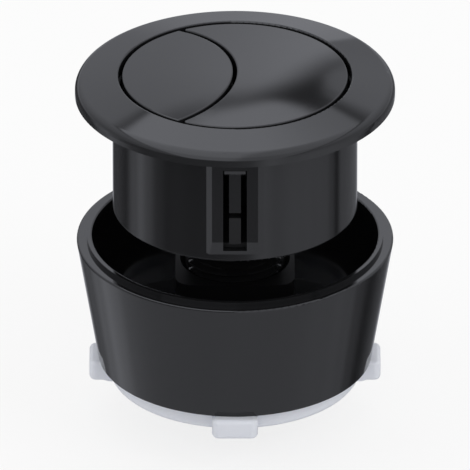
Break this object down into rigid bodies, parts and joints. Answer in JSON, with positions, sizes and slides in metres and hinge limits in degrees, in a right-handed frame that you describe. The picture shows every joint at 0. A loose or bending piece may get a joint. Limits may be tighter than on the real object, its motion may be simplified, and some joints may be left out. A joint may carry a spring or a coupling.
{
  "type": "push button cistern actuator",
  "caption": "Round black push button for a cistern lid, with a lens-shaped half flush and a crescent full flush button, threaded shank, square nut, tapered collar and white lock nut.",
  "frame": {"origin": "centre of the flange's underside, the seat on the cistern lid's top", "axes": "+Z along the shank's axis, up out of the lid towards the buttons; -X towards the half flush button"},
  "size_m": [0.076, 0.076, 0.0911],
  "materials": {
    "satin_black_top": "satin black",
    "gloss_black_plastic": "moulded gloss black",
    "matte_black_plastic": "moulded matt black",
    "inner_plastic": "moulded grey",
    "milky_white_plastic": "moulded milky white",
    "spring_steel": "drawn wire and turned steel"
  },
  "bodies": {
    "housing": {"housing": "gloss_black_plastic", "bezel_ring": "satin_black_top", "guide_carrier": "matte_black_plastic", "slider_screws": "spring_steel", "half_return_spring": "spring_steel", "full_return_spring_front": "spring_steel", "full_return_spring_rear": "spring_steel"},
    "half_button": {"half_flush_cap": "satin_black_top", "half_flush_slider": "inner_plastic", "half_push_rod": "inner_plastic"},
    "full_button": {"full_flush_cap": "satin_black_top", "full_flush_slider": "inner_plastic", "full_push_tube": "gloss_black_plastic", "push_tube_foot": "gloss_black_plastic"},
    "square_nut": {"square_nut": "matte_black_plastic"},
    "collar": {"collar": "gloss_black_plastic"},
    "lock_nut": {"lock_nut": "milky_white_plastic"}
  },
  "joints": [
    {"name": "half_press", "type": "slide", "parent": "housing", "child": "half_button", "axis": [0, 0, -1], "range_m": [0, 0.006], "stiffness_N_per_m": 350, "springref_m": -0.008, "deforming": ["half_return_spring"]},
    {"name": "full_press", "type": "slide", "parent": "housing", "child": "full_button", "axis": [0, 0, -1], "range_m": [0, 0.006], "stiffness_N_per_m": 500, "springref_m": -0.008, "deforming": ["full_return_spring_front", "full_return_spring_rear"]},
    {"name": "collar_lift", "type": "slide", "parent": "housing", "child": "collar", "axis": [0, 0, 1], "range_m": [0, 0.00825]},
    {"name": "lock_nut_turn", "type": "hinge", "parent": "collar", "child": "lock_nut", "pos_m": [0, 0, -0.07], "axis": [0, 0, 1], "range_deg": [0, 1476]},
    {"name": "square_nut_travel", "type": "slide", "parent": "housing", "child": "square_nut", "axis": [0, 0, 1], "range_m": [0, 0.0138]}
  ],
  "couplings": [
    {"joint": "collar_lift", "follows": "lock_nut_turn", "m_per_rad": 0.00031831}
  ]
}
